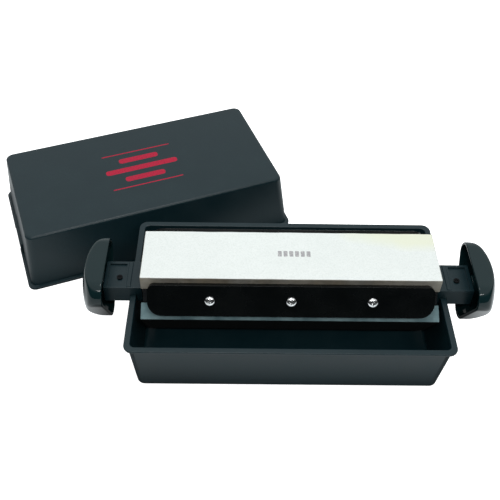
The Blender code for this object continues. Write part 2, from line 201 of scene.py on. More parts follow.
def new_finish(name, **constants):
    """An empty material: its tree, its shader and the object's own coordinates."""
    material = bpy.data.materials.new(name)
    material.use_nodes = True
    tree = material.node_tree
    shader = tree.nodes["Principled BSDF"]
    for key, value in constants.items():
        shader.inputs[key.replace("_", " ")].default_value = value
    where = add(tree, "ShaderNodeTexCoord").outputs["Object"]
    return material, tree, shader, where


def noise(tree, where, scale, detail=4.0, rough=0.55, stretch=None):
    """A cloudy pattern; stretch packs it closer along each axis."""
    if stretch:
        where = add(tree, "ShaderNodeMapping", {"Vector": where, "Scale": stretch}).outputs["Vector"]
    return add(tree, "ShaderNodeTexNoise", {"Vector": where, "Scale": scale, "Detail": detail,
                                            "Roughness": rough}).outputs["Fac"]


def spread(tree, value, low, high, to_low=0.0, to_high=1.0):
    """Stretch a value from one range to another, and hold it there."""
    return add(tree, "ShaderNodeMapRange", {"Value": value, "From Min": low, "From Max": high,
                                            "To Min": to_low, "To Max": to_high}).outputs["Result"]


def blended(tree, factor, first, second):
    """Mix two colours, each a tuple or a socket."""
    mix = add(tree, "ShaderNodeMix", data_type="RGBA")
    ports = {0: factor, 6: first, 7: second}
    for port, value in ports.items():
        if isinstance(value, bpy.types.NodeSocket):
            tree.links.new(value, mix.inputs[port])
        elif port:
            mix.inputs[port].default_value = (*value, 1.0)
        else:
            mix.inputs[port].default_value = value
    return mix.outputs[2]


def painted(tree, shader, colour, rough):
    """Give the shader its colour and roughness patterns."""
    tree.links.new(colour, shader.inputs["Base Color"])
    tree.links.new(rough, shader.inputs["Roughness"])


def bumped(tree, shader, *layers):
    """Stack height patterns, each (height, distance in metres, strength), on the surface."""
    normal = None
    for height, distance, strength in layers:
        inputs = {"Height": height, "Distance": distance, "Strength": strength}
        if normal:
            inputs["Normal"] = normal
        normal = add(tree, "ShaderNodeBump", inputs).outputs["Normal"]
    tree.links.new(normal, shader.inputs["Normal"])


# ---------------------------------------------------------------- materials

def moulded_plastic(name, colour, dusty, rough, grain=0.5, **constants):
    """Moulded plastic: a fine eggshell grain, faint dust and flow marks, and a few light rubs."""
    material, tree, shader, where = new_finish(name, **constants)
    clouds = noise(tree, where, 28, 5)
    specks = noise(tree, where, 900, 2)
    rubs = noise(tree, where, 9, 6, 0.7, (6, 90, 60))
    dust = add(tree, "ShaderNodeMath", {0: spread(tree, clouds, 0.42, 0.72),
                                        1: spread(tree, specks, 0.4, 0.65)},
               operation="MULTIPLY").outputs["Value"]
    shade = blended(tree, dust, colour, dusty)
    rubbed = spread(tree, rubs, 0.66, 0.78, 0.0, 0.5)
    painted(tree, shader, blended(tree, rubbed, shade, tuple(1.5 * c for c in dusty)),
            spread(tree, clouds, 0.3, 0.7, rough - 0.05, rough + 0.06))
    bumped(tree, shader, (noise(tree, where, 2600, 2), 0.00006, grain),
           (noise(tree, where, 14, 2), 0.0006, 0.08))
    return material


def bonded_grit(name, dark, pale, grain, flank_oil_and_reflection, rough, pits, aged=None):
    """Bonded abrasive: grains of several shades, open pores, and flanks in colours of their own: old
    oil stain, and on the coarse stone a painted reflection.

    The flank colours are two: old oil stain on the medium and fine stones, and a painted reflection on
    the coarse one.
    pits is the depth of the pores.  aged, where it is given, tints one patch of the stone: its colour,
    its middle and its reach along each axis.
    """
    material, tree, shader, where = new_finish(name, Specular_IOR_Level=0.25)
    clouds = noise(tree, where, 22, 6, 0.6)
    grains = add(tree, "ShaderNodeTexVoronoi", {"Vector": where, "Scale": grain})
    mottle = noise(tree, where, grain * 0.35, 3)
    tone = add(tree, "ShaderNodeSeparateColor", {"Color": grains.outputs["Color"]}).outputs["Red"]
    body = blended(tree, tone, dark, pale)
    body = blended(tree, spread(tree, mottle, 0.4, 0.62, 0.0, 0.55), body, pale)
    body = blended(tree, spread(tree, clouds, 0.45, 0.75, 0.0, 0.35), body, dark)
    if aged:
        tint, middle, reach = aged
        away = add(tree, "ShaderNodeMapping", {"Vector": where, "Location": middle, "Scale": reach},
                   vector_type="TEXTURE").outputs["Vector"]
        away = add(tree, "ShaderNodeVectorMath", {0: away}, operation="LENGTH").outputs["Value"]
        ragged = add(tree, "ShaderNodeMath", {0: clouds, 1: 0.8, 2: away},
                     operation="MULTIPLY_ADD").outputs["Value"]
        body = blended(tree, spread(tree, ragged, 0.9, 1.5, 0.9, 0.0), body, tint)
    # The flanks take their own colour: old oil stain on the medium and fine stones, a painted
    # reflection on the coarse stone.
    flank = add(tree, "ShaderNodeAttribute", attribute_name="flank").outputs["Fac"]
    oil_and_reflection_mask = add(tree, "ShaderNodeMath", {0: flank, 1: spread(tree, clouds, 0.25, 0.6, 0.72, 1.0)},
                 operation="MULTIPLY").outputs["Value"]
    oil_and_reflection_colour = blended(tree, spread(tree, noise(tree, where, 60, 5), 0.35, 0.65), flank_oil_and_reflection[0], flank_oil_and_reflection[1])
    painted(tree, shader, blended(tree, oil_and_reflection_mask, body, oil_and_reflection_colour),
            spread(tree, mottle, 0.3, 0.7, rough - 0.1, rough + 0.08))
    pore = spread(tree, grains.outputs["Distance"], 0.0, 0.6)
    bumped(tree, shader, (pore, pits, 0.5), (noise(tree, where, 2200, 3), pits, 0.35))
    return material


def plated_steel():
    """Bright plating with fine polishing lines and faint oil."""
    material, tree, shader, where = new_finish("bright_plating", Metallic=1.0)
    film = noise(tree, where, 160, 4)
    painted(tree, shader,
            blended(tree, spread(tree, film, 0.4, 0.7), (0.86, 0.87, 0.88), (0.62, 0.63, 0.62)),
            spread(tree, film, 0.3, 0.7, 0.08, 0.2))
    bumped(tree, shader, (noise(tree, where, 1800, 2), 0.00002, 0.25))
    return material


def blacked_steel():
    """Very dark blacked steel for the small pins: their own black finish, made darker still as painted
    shade of the holes that they sit in.
    """
    material, tree, shader, where = new_finish("blacked_steel", Metallic=1.0)
    film = noise(tree, where, 300, 4)
    painted(tree, shader, blended(tree, film, (0.003, 0.0035, 0.004), (0.02, 0.021, 0.023)),
            spread(tree, film, 0.3, 0.7, 0.25, 0.4))
    return material


def drawn_steel():
    """Drawn round bar, with lines along its length."""
    material, tree, shader, where = new_finish("drawn_steel", Metallic=1.0)
    lines = noise(tree, where, 60, 5, 0.6, (1, 40, 40))
    painted(tree, shader, blended(tree, lines, (0.4, 0.41, 0.42), (0.66, 0.66, 0.66)),
            spread(tree, lines, 0.3, 0.7, 0.22, 0.4))
    bumped(tree, shader, (lines, 0.00003, 0.4))
    return material


def foot_rubber():
    """Matt rubber with a dusty bloom."""
    material, tree, shader, where = new_finish("foot_rubber", Specular_IOR_Level=0.3)
    bloom = noise(tree, where, 240, 5)
    painted(tree, shader, blended(tree, bloom, (0.012, 0.012, 0.012), (0.05, 0.048, 0.045)),
            spread(tree, bloom, 0.3, 0.7, 0.75, 0.95))
    bumped(tree, shader, (noise(tree, where, 2000, 2), 0.0001, 0.4))
    return material


def bush_nylon():
    """Natural nylon, slightly cloudy."""
    material, tree, shader, where = new_finish("bush_nylon", Subsurface_Weight=0.1)
    haze = noise(tree, where, 120, 4)
    painted(tree, shader, blended(tree, haze, (0.66, 0.63, 0.54), (0.76, 0.74, 0.68)),
            spread(tree, haze, 0.3, 0.7, 0.35, 0.5))
    return material


def printed_ink(name, colour, worn, rough=0.4):
    """Pad-printed ink, a little broken up by the surface below."""
    material, tree, shader, where = new_finish(name, Specular_IOR_Level=0.2)
    breaks = noise(tree, where, 700, 3)
    painted(tree, shader, blended(tree, spread(tree, breaks, 0.5, 0.68), colour, worn),
            spread(tree, breaks, 0.3, 0.7, rough, rough + 0.15))
    return material


BODY = moulded_plastic("black_moulding", (0.0045, 0.0175, 0.0225), (0.009, 0.025, 0.030), rough=0.36,
                       Specular_IOR_Level=0.3)
HANDLE = moulded_plastic("gloss_moulding", (0.004, 0.0165, 0.0185), (0.007, 0.021, 0.023), rough=0.11,
                         grain=0.08, Specular_IOR_Level=0.3)
CORE = moulded_plastic("core_moulding", (0.003, 0.004, 0.005), (0.006, 0.007, 0.008), rough=0.5,
                       Specular_IOR_Level=0.2)
BAR = moulded_plastic("bar_moulding", (0.0016, 0.0024, 0.0026), (0.004, 0.005, 0.005), rough=0.26,
                      grain=0.2, Specular_IOR_Level=0.14)
YELLOWED = ((0.72, 0.75, 0.60), (0.13, 0.03, AXIS_Z + 43 * MM), (0.075, 0.022, 0.02))
MEDIUM = bonded_grit("medium_grit", (0.65, 0.695, 0.67), (0.77, 0.81, 0.79), grain=1500,
                     flank_oil_and_reflection=((0.13, 0.115, 0.09), (0.23, 0.20, 0.15)), rough=0.75, pits=0.00004,
                     aged=YELLOWED)
# Coarse stone: its nearly black face is its own dark oiled grit, darkened further as painted shade; its
# much lighter blue-grey flank colours are a painted reflection, not oil.
COARSE = bonded_grit("coarse_grit", (0.008, 0.0095, 0.009), (0.028, 0.033, 0.032), grain=900,
                     flank_oil_and_reflection=((0.08, 0.14, 0.155), (0.17, 0.26, 0.275)), rough=0.8, pits=0.00012)
FINE = bonded_grit("fine_grit", (0.30, 0.14, 0.07), (0.52, 0.28, 0.15), grain=1900,
                   flank_oil_and_reflection=((0.14, 0.07, 0.04), (0.24, 0.12, 0.07)), rough=0.6, pits=0.00003)
PLATED = plated_steel()
BLACKED_AND_SHADED = blacked_steel()
DRAWN = drawn_steel()
RUBBER = foot_rubber()
NYLON = bush_nylon()
RED_INK = printed_ink("red_print", (0.42, 0.006, 0.035), (0.24, 0.008, 0.035))
GREY_INK = printed_ink("grey_print", (0.33, 0.33, 0.34), (0.58, 0.58, 0.57), rough=0.6)


# ---------------------------------------------------------------- tray and lid

WALL = 3.2 * MM
WALL_CORNER = 8.0 * MM                  # in plan, outside
INNER_CORNER = 5.0 * MM                 # and inside
MOULD_ROUND = 3.0 * MM                  # where a wall runs into a floor, a ceiling or a crown
EDGE_ROUND = 0.9 * MM
CUT_ROUND = 0.5 * MM                    # at the edges that the cutting leaves
CUT_ANGLE = 45                          # which are those sharper than this
LIP = (160.5 * MM, 88.3 * MM)           # half sizes over the lip
LIP_CORNER = 9.0 * MM
LIP_THICK = 3.0 * MM
LIP_FILLET = (0.5 * MM, 0.6 * MM)       # where the lip leaves the wall: outward, and along the wall
LIP_CHAMFER = ((0.5 * MM, 0.0), (0.1 * MM, 0.3 * MM))   # its near edge: set in, and toward its face

BOX_HEIGHT = 69.0 * MM
TRAY_BASE = (153.4 * MM, 79.0 * MM)     # half sizes of the wall, outside
TRAY_TOP = (157.5 * MM, 85.3 * MM)
LID_HEIGHT = 69.5 * MM
LID_RIM = (157.3 * MM, 85.0 * MM)       # at its open edge, which lies on the floor
LID_CROWN = (150.15 * MM, 76.15 * MM)
LID_TURN = math.radians(20.65)

# Boxes at both ends: the middle along X, and half sizes in plan.
BLOCK_NOTCH = (158.0 * MM, (10.0 * MM, 15.8 * MM))
HOOD = (154.6 * MM, (4.8 * MM, 27.0 * MM))
OPENING = (155.0 * MM, (12.0 * MM, 19.0 * MM))
NOTCH_GAP = 0.3 * MM                    # under a bearing block
NOTCH_PAST = 10.0 * MM                  # how far its cutter runs out above the tray
HOOD_SPAN = (0.4 * MM, 17.0 * MM)       # from the lid's edge
HOOD_ROUND = 1.5 * MM
OPENING_TOP = 12.5 * MM
HOLLOW = (140.0 * MM, 150.6 * MM)       # along X, cleared inside the hood
HOLLOW_WIDE = 30.0 * MM
HOLLOW_TOP = 25.0 * MM
LID_PAST = 5.0 * MM                     # how far a cutter runs out past the lid's edge

FOOT_POCKET_R = 7.6 * MM
FOOT_POCKET_DEEP = 6.0 * MM
FOOT_POCKET_Z = -2.0 * MM               # its middle


def drafted(z, base, top):
    """Half sizes of a drafted wall at height z."""
    return [b + (t - b) * z / BOX_HEIGHT for b, t in zip(base, top)]


def end_block(side, middle, half, bottom, top):
    """A box at one end, from its middle along X and its half sizes in plan."""
    return block_mesh((side * middle - half[0], -half[1], bottom),
                      (side * middle + half[0], half[1], top))


def ring_at(half, inset, corner, z):
    """A rounded rectangle at height z, set in from the given half sizes."""
    outline = rounded_rectangle(half[0] - inset, half[1] - inset, corner)
    return [(x, y, z) for x, y in outline]


def lip_rings(z_root, z_edge, root_half):
    """The lip's rings from its root on the wall, out round its edge, to its face at z_edge."""
    toward = 1 if z_edge > z_root else -1
    rings = [ring_at(root_half, -LIP_FILLET[0], WALL_CORNER, z_root)]
    for inset, along in LIP_CHAMFER:
        rings.append(ring_at(LIP, inset, LIP_CORNER, z_root + toward * along))
    for a in quarter(FILLET_STEPS):
        inset = EDGE_ROUND * (1 - math.cos(a))
        z = z_edge - toward * EDGE_ROUND * (1 - math.sin(a))
        rings.append(ring_at(LIP, inset, LIP_CORNER - inset, z))
    return rings


def make_tray():
    """The open tray: up the outside, over the lip, and down the inside to the floor."""
    rings = []
    for a in quarter(FILLET_STEPS):
        z = MOULD_ROUND * (1 - math.cos(a))
        inset = MOULD_ROUND * (1 - math.sin(a))
        rings.append(ring_at(drafted(z, TRAY_BASE, TRAY_TOP), inset, WALL_CORNER, z))
    under = BOX_HEIGHT - LIP_THICK
    z = under - LIP_FILLET[1]
    rings.append(ring_at(drafted(z, TRAY_BASE, TRAY_TOP), 0, WALL_CORNER, z))
    rings += lip_rings(under, BOX_HEIGHT, drafted(under, TRAY_BASE, TRAY_TOP))
    inner = drafted(BOX_HEIGHT, TRAY_BASE, TRAY_TOP)
    for a in quarter(FILLET_STEPS):
        z = BOX_HEIGHT - EDGE_ROUND * (1 - math.cos(a))
        rings.append(ring_at(inner, WALL - EDGE_ROUND * (1 - math.sin(a)), INNER_CORNER, z))
    for a in quarter(FILLET_STEPS):
        z = WALL + MOULD_ROUND * (1 - math.sin(a))
        inset = WALL + MOULD_ROUND * (1 - math.cos(a))
        rings.append(ring_at(drafted(z, TRAY_BASE, TRAY_TOP), inset, INNER_CORNER, z))
    tray = linked("oil_tray", lofted(rings))
    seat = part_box("bearing_block_left")[0][2] - NOTCH_GAP
    for side in (-1, 1):
        notch = end_block(side, *BLOCK_NOTCH, seat, BOX_HEIGHT + NOTCH_PAST)
        shaped(tray, linked("notch", notch))
    for corner in ("front_left", "front_right", "rear_left", "rear_right"):
        low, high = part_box("foot_" + corner)
        middle = (Vector(low) + Vector(high)) / 2
        pocket = rod_mesh(FOOT_POCKET_R, FOOT_POCKET_DEEP, (middle.x, middle.y, FOOT_POCKET_Z), 48)
        shaped(tray, linked("pocket", pocket))
    softened(tray, CUT_ROUND, angle=CUT_ANGLE)
    return finished(tray, BODY, "base", "body_plastic", "tray")


def lid_place():
    """Where the lid lies: turned a little, behind and to the left of the tray."""
    low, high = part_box("lid")
    middle = (Vector(low) + Vector(high)) / 2
    return Matrix.Translation((middle.x, middle.y, low[2])) @ Matrix.Rotation(LID_TURN, 4, "Z")


def make_lid(place):
    """The lid, open side down: down the inside, round the lip, and up the outside to the crown."""
    rings = []
    for a in quarter(FILLET_STEPS):
        z = LID_HEIGHT - WALL - MOULD_ROUND * (1 - math.cos(a))
        inset = WALL + MOULD_ROUND * (1 - math.sin(a))
        rings.append(ring_at(drafted(z, LID_RIM, LID_CROWN), inset, INNER_CORNER, z))
    for a in quarter(FILLET_STEPS):
        z = EDGE_ROUND * (1 - math.sin(a))
        rings.append(ring_at(LID_RIM, WALL - EDGE_ROUND * (1 - math.cos(a)), INNER_CORNER, z))
    rings += lip_rings(LIP_THICK, 0.0, drafted(LIP_THICK, LID_RIM, LID_CROWN))[::-1]
    z = LIP_THICK + LIP_FILLET[1]
    rings.append(ring_at(drafted(z, LID_RIM, LID_CROWN), 0, WALL_CORNER, z))
    for a in quarter(FILLET_STEPS):
        z = LID_HEIGHT - MOULD_ROUND * (1 - math.sin(a))
        inset = MOULD_ROUND * (1 - math.cos(a))
        rings.append(ring_at(drafted(z, LID_RIM, LID_CROWN), inset, WALL_CORNER, z))
    lid = linked("box_lid", lofted(rings))
    for side in (-1, 1):
        hood = linked("hood", end_block(side, *HOOD, *HOOD_SPAN))
        shaped(lid, softened(hood, HOOD_ROUND, 4), "UNION")
    for side in (-1, 1):
        hollow = block_mesh((side * HOLLOW[0], -HOLLOW_WIDE, -LID_PAST),
                            (side * HOLLOW[1], HOLLOW_WIDE, HOLLOW_TOP))
        shaped(lid, linked("hollow", hollow))
        shaped(lid, linked("opening", end_block(side, *OPENING, -LID_PAST, OPENING_TOP)))
    softened(lid, CUT_ROUND, angle=CUT_ANGLE)
    lid.data.transform(place)
    return finished(lid, BODY, "lid", "body_plastic", "lid")


# ---------------------------------------------------------------- stones

STONE_HALF = (146.05 * MM, 31.75 * MM)
STONE_FACE_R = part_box("medium_stone")[1][2] - AXIS_Z
STONE_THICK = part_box("medium_stone")[1][2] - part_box("medium_stone")[0][2]
STONE_STEPS = 120                       # sections along a stone
ARRIS = 0.55                            # millimetres, in the middle of its wave
ARRIS_WAVE = 0.25
ARRIS_RATES = (0.37, 0.11)              # radians in each section, of the two waves that it is made of
ARRIS_STEPS = 3
STONE_END = ((0, 0), (0.3, 0.7), (1.0, 1.0))    # a rounded end: shares of the arris, inward and outward
FLANK_COLOUR_EDGE = 0.3 * MM                   # how far below the working face the flank colour is full: oil stain, and on the coarse stone a painted reflection


def arris_at(step, seed):
    """How far the arrises are rubbed round at one section: an uneven wave along the stone."""
    quick, slow = ARRIS_RATES
    return ARRIS + ARRIS_WAVE * math.sin(seed + quick * step) * math.sin(1.7 * seed + slow * step)


def make_stone(name, node, turn, finish, slot, seed):
    """A sawn slab whose arrises are rubbed unevenly; its flanks are marked for their own colour: oil
    stain, and on the coarse stone a painted reflection.
    """
    half_x, half_y = STONE_HALF
    low, high = STONE_FACE_R - STONE_THICK, STONE_FACE_R
    rings = []
    for i in range(-2, STONE_STEPS + 3):
        step = min(max(i, 0), STONE_STEPS)
        soft = arris_at(step, seed) * MM
        inward, outward = STONE_END[abs(i - step)]
        x = -half_x + soft + (2 * half_x - 2 * soft) * step / STONE_STEPS
        x += soft * outward * ((i > STONE_STEPS) - (i < 0))
        shrink = soft * inward
        section = slab_section(half_y - shrink, low + shrink, high - shrink, soft)
        rings.append([(x, y, z) for y, z in section])
    stone = applied(linked(name, lofted(rings)), SMOOTH_TO)
    evened(stone, SMOOTH_TO)
    flank = stone.data.attributes.new("flank", "FLOAT", "POINT")
    for vert, mark in zip(stone.data.vertices, flank.data):
        mark.value = min(1.0, (high - vert.co.z) / FLANK_COLOUR_EDGE)
    turned = Matrix.Rotation(math.radians(turn), 4, "X")
    stone.data.transform(Matrix.Translation((0, 0, AXIS_Z)) @ turned)
    return finished(stone, finish, "rotor", slot, node)


def slab_section(half_y, low, high, soft):
    """A slab's section with rounded arrises, as (y, z)."""
    middle, half_z = (low + high) / 2, (high - low) / 2
    points = []
    for turn, (sy, sz) in enumerate(((1, 1), (-1, 1), (-1, -1), (1, -1))):
        for a in quarter(ARRIS_STEPS):
            angle = a + turn * math.pi / 2
            points.append((sy * (half_y - soft) + soft * math.cos(angle),
                           middle + sz * (half_z - soft) + soft * math.sin(angle)))
    return points


# ---------------------------------------------------------------- handles

HANDLE_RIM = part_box("handle_right")[0][0]
HANDLE_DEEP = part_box("handle_right")[1][0] - HANDLE_RIM
HANDLE_R = 49.5 * MM                    # of the dome that closes the cup
HANDLE_FLAT = 30.8 * MM                 # from the axis to each of the three flats
HANDLE_CORNER = 15.5 * MM
HANDLE_WALL = 3.0 * MM
FLAT_BLEND = 5.0 * MM                   # how far apart side and dome start to run into each other
HUB_R = 11.0 * MM
HUB_START = 187.7 * MM
HUB_END = 199.3 * MM
HUB_FILLET = 2.0 * MM
SOCKET_R = 5.3 * MM
SOCKET_EDGE = 0.4 * MM
GRUB_R = 2.3 * MM
GRUB_LENGTH = 12.0 * MM                 # of the cutter, which runs out of the hub
GRUB_FROM_START = 5.0 * MM
GRUB_MIDDLE = 10.0 * MM                 # above the axis
CUP_AROUND = 240
DOME_STEPS = 60
INSIDE_STEPS = 40
RIM_STEPS = 4
HUB_STEPS = 3


def side_reach(angle, inset):
    """From the axis to the cup's side at this angle: three flats, one facing up, and round corners."""
    off_flat = (angle - math.pi / 2 + math.pi / 3) % (2 * math.pi / 3) - math.pi / 3
    middle, radius = 2 * (HANDLE_FLAT - HANDLE_CORNER), HANDLE_CORNER - inset
    if math.tan(abs(off_flat)) * (HANDLE_FLAT - inset) <= middle * math.sin(math.pi / 3):
        return (HANDLE_FLAT - inset) / math.cos(off_flat)
    off_corner = math.pi / 3 - abs(off_flat)
    return middle * math.cos(off_corner) + math.sqrt(radius ** 2 - (middle * math.sin(off_corner)) ** 2)


def cup_ring(x, radius, inset=None):
    """One ring of the cup at x: a circle, held inside the cup's side unless inset is None."""
    points = []
    for i in range(CUP_AROUND):
        angle = 2 * math.pi * i / CUP_AROUND
        reach = radius
        if inset is not None:
            side = side_reach(angle, inset)
            close = max(FLAT_BLEND - abs(radius - side), 0.0) / FLAT_BLEND
            reach = min(radius, side) - close * close * FLAT_BLEND / 4
        points.append((x, reach * math.cos(angle), reach * math.sin(angle)))
    return points


def make_handle(side, hand):
    """The cup, from the tip of its dome round the rim and back inside to the hub and its socket."""
    rim = HANDLE_RIM + EDGE_ROUND
    rings = []
    for a in reversed(quarter(DOME_STEPS)):
        x = rim + (HANDLE_DEEP - EDGE_ROUND) * math.sin(a)
        rings.append(cup_ring(x, HANDLE_R * math.cos(a), 0.0))
    for a in quarter(RIM_STEPS)[1:]:
        drop = EDGE_ROUND * (1 - math.cos(a))
        x = HANDLE_RIM + EDGE_ROUND * (1 - math.sin(a))
        rings.append(cup_ring(x, HANDLE_R - drop, drop))
    for a in quarter(RIM_STEPS):
        inset = HANDLE_WALL - EDGE_ROUND * (1 - math.sin(a))
        x = HANDLE_RIM + EDGE_ROUND * (1 - math.cos(a))
        rings.append(cup_ring(x, HANDLE_R - inset, inset))
    deep, radius = HANDLE_DEEP - HANDLE_WALL, HANDLE_R - HANDLE_WALL
    last = math.acos((HUB_R + HUB_FILLET) / radius)
    for i in range(1, INSIDE_STEPS + 1):
        a = last * i / INSIDE_STEPS
        x = rim + (deep - EDGE_ROUND) * math.sin(a)
        rings.append(cup_ring(x, radius * math.cos(a), HANDLE_WALL))
    root = rim + (deep - EDGE_ROUND) * math.sin(last) - HUB_FILLET
    for a in reversed(quarter(RIM_STEPS)[:-1]):
        rings.append(cup_ring(root + HUB_FILLET * math.sin(a), HUB_R + HUB_FILLET * (1 - math.cos(a))))
    for a in quarter(HUB_STEPS):
        x = HUB_START + EDGE_ROUND * (1 - math.sin(a))
        rings.append(cup_ring(x, HUB_R - EDGE_ROUND * (1 - math.cos(a))))
    rings.append(cup_ring(HUB_START, SOCKET_R + SOCKET_EDGE))
    rings.append(cup_ring(HUB_START + SOCKET_EDGE, SOCKET_R))
    rings.append(cup_ring(HUB_END, SOCKET_R))
    rings.append(cup_ring(HUB_END, 0.0))
    bm = lofted(rings, capped=False)
    if side < 0:
        bmesh.ops.scale(bm, vec=(-1, 1, 1), verts=bm.verts)
        bmesh.ops.recalc_face_normals(bm, faces=bm.faces)
    bmesh.ops.translate(bm, vec=(0, 0, AXIS_Z), verts=bm.verts)
    handle = applied(linked("cup_handle_" + hand, bm), SMOOTH_TO)
    at = (side * (HUB_START + GRUB_FROM_START), 0, AXIS_Z + GRUB_MIDDLE)
    shaped(handle, linked("grub_hole", rod_mesh(GRUB_R, GRUB_LENGTH, at, 24)))
    return finished(handle, HANDLE, "rotor", "handle_plastic", "handle_" + hand)


# ---------------------------------------------------------------- screws, by geometry nodes

SCREW_PITCH = 78.5 * MM
SCREW_SEAT = 53.8 * MM                  # the bar's face, from the axis, with the gap under the head
HEAD_R = 5.0 * MM
HEAD_HEIGHT = 3.0 * MM
HEAD_RIM = 0.3                          # the share of the height that the head's edge takes
HEAD_UNDER = 0.96                       # the share of the radius that its underside has
HEAD_ROUND = 0.12 * MM
SHANK_R = 2.1 * MM
SHANK_END = -19.5 * MM
SHANK_POINT = (0.5 * MM, 2.0 * MM)      # radius of its end, and the length of the taper
RECESS = (3.1 * MM, 0.75 * MM)          # half sizes of each arm of the cross, at the top
RECESS_FLOOR = (0.45, 0.7)              # the shares of them that are left at its floor
RECESS_SPAN = (0.8 * MM, 4.0 * MM)      # above the seat
SCREW_AROUND = 48
HEAD_STEPS = 10
SCREWS_PER_BAR = 3


def screw_pattern():
    """One bright pan-head screw with a tapered cross recess; its seat is at its origin."""
    outline = [(HEAD_R * math.cos(a), HEAD_HEIGHT * (HEAD_RIM + (1 - HEAD_RIM) * math.sin(a)))
               for a in reversed(quarter(HEAD_STEPS))]
    end_r, taper = SHANK_POINT
    outline += [(HEAD_R * HEAD_UNDER, 0.0), (SHANK_R, 0.0), (SHANK_R, SHANK_END + taper),
                (end_r, SHANK_END), (0.0, SHANK_END)]
    angles = [2 * math.pi * i / SCREW_AROUND for i in range(SCREW_AROUND)]
    rings = [[(r * math.cos(a), r * math.sin(a), z) for a in angles] for r, z in outline]
    screw = linked("screw_pattern", lofted(rings, capped=False))
    (long, wide), (floor, top) = RECESS, RECESS_SPAN
    for turn in (0, 90):
        arm = block_mesh((-long, -wide, floor), (long, wide, top))
        for vert in arm.verts:
            if vert.co.z < (floor + top) / 2:
                vert.co.x *= RECESS_FLOOR[0]
                vert.co.y *= RECESS_FLOOR[1]
        arm.transform(Matrix.Rotation(math.radians(turn), 4, "Z"))
        shaped(screw, linked("arm", arm))
    return softened(screw, HEAD_ROUND, 2, 40)


def geometry_tree(name, *sizes):
    """A new geometry tree with labelled inputs, each of its own socket type, and its end nodes."""
    tree = bpy.data.node_groups.new(name, "GeometryNodeTree")
    tree.interface.new_socket("Geometry", in_out="OUTPUT", socket_type="NodeSocketGeometry")
    for label, kind in sizes:
        tree.interface.new_socket(label, in_out="INPUT", socket_type=kind)
    return tree, tree.nodes.new("NodeGroupInput"), tree.nodes.new("NodeGroupOutput")


def finish_tree(tree, geometry, end, material):
    """Realize the instances, set the material and close the tree."""
    real = add(tree, "GeometryNodeRealizeInstances", {"Geometry": geometry})
    coated = add(tree, "GeometryNodeSetMaterial", {"Geometry": real.outputs["Geometry"],
                                                   "Material": material})
    tree.links.new(coated.outputs["Geometry"], end.inputs["Geometry"])


def grown(name, tree, **values):
    """A plain mesh made by a geometry tree, with the tree's inputs set by their labels."""
    thing = bpy.data.objects.new(name, bpy.data.meshes.new(name))
    bpy.context.scene.collection.objects.link(thing)
    grow = thing.modifiers.new("grow", "NODES")
    grow.node_group = tree
    for item in tree.interface.items_tree:
        if item.in_out == "INPUT":
            grow[item.identifier] = values[item.name.replace(" ", "_").lower()]
    return applied(thing)


def row_of(tree, source, count, pitch, **extra):
    """Copies of an object in a row along X, centred; extra inputs go to each copy."""
    line = add(tree, "GeometryNodeMeshLine", {"Count": count})
    less = add(tree, "ShaderNodeMath", {0: count, 1: 1.0}, operation="SUBTRACT").outputs["Value"]
    span = add(tree, "ShaderNodeMath", {0: less, 1: pitch}, operation="MULTIPLY").outputs["Value"]
    start = add(tree, "ShaderNodeMath", {0: span, 1: -0.5}, operation="MULTIPLY").outputs["Value"]
    for label, along in (("Start Location", start), ("Offset", pitch)):
        vector = add(tree, "ShaderNodeCombineXYZ", {"X": along}).outputs["Vector"]
        tree.links.new(vector, line.inputs[label])
    pattern = add(tree, "GeometryNodeObjectInfo", {"Object": source})
    return add(tree, "GeometryNodeInstanceOnPoints", {"Points": line.outputs["Mesh"], **extra,
                                                      "Instance": pattern.outputs["Geometry"]})


def make_screws():
    """Screws along the three bars: one row, lifted to a bar's face and turned round the axis.

    Each screw is twisted by its own amount, from a fixed seed.
    """
    tree, start, end = geometry_tree("bar_screw_rows", ("Screw", "NodeSocketObject"),
                                     ("Count", "NodeSocketInt"), ("Pitch", "NodeSocketFloat"),
                                     ("Seat", "NodeSocketFloat"), ("Bars", "NodeSocketInt"))
    angle = add(tree, "FunctionNodeRandomValue", {2: 0.0, 3: math.radians(90), "Seed": 0},
                data_type="FLOAT")
    twist = add(tree, "ShaderNodeCombineXYZ", {"Z": angle.outputs[1]}).outputs["Vector"]
    row = row_of(tree, start.outputs["Screw"], start.outputs["Count"], start.outputs["Pitch"],
                 Rotation=twist)
    lift = add(tree, "ShaderNodeCombineXYZ", {"Z": start.outputs["Seat"]})
    raised = add(tree, "GeometryNodeTransform", {"Geometry": row.outputs["Instances"],
                                                 "Translation": lift.outputs["Vector"]})
    hubs = add(tree, "GeometryNodeMeshLine", {"Count": start.outputs["Bars"], "Offset": (0, 0, 0),
                                              "Start Location": (0, 0, AXIS_Z)})
    index = add(tree, "GeometryNodeInputIndex").outputs["Index"]
    third = add(tree, "ShaderNodeMath", {0: index, 1: math.radians(120), 2: math.radians(60)},
                operation="MULTIPLY_ADD").outputs["Value"]
    turn = add(tree, "ShaderNodeCombineXYZ", {"X": third}).outputs["Vector"]
    rows = add(tree, "GeometryNodeInstanceOnPoints", {"Points": hubs.outputs["Mesh"], "Rotation": turn,
                                                      "Instance": raised.outputs["Geometry"]})
    finish_tree(tree, rows.outputs["Instances"], end, PLATED)
    pattern = screw_pattern()
    screws = grown("bar_screws", tree, screw=pattern, count=SCREWS_PER_BAR, pitch=SCREW_PITCH,
                   seat=SCREW_SEAT, bars=len(BARS))
    bpy.data.objects.remove(pattern)
    nodes = ["screw_" + bar + "_" + str(n + 1) for bar in BARS for n in range(SCREWS_PER_BAR)]
    return finished(screws, PLATED, "rotor", "screw_chrome", *nodes)


# ---------------------------------------------------------------- printed marks, by geometry nodes

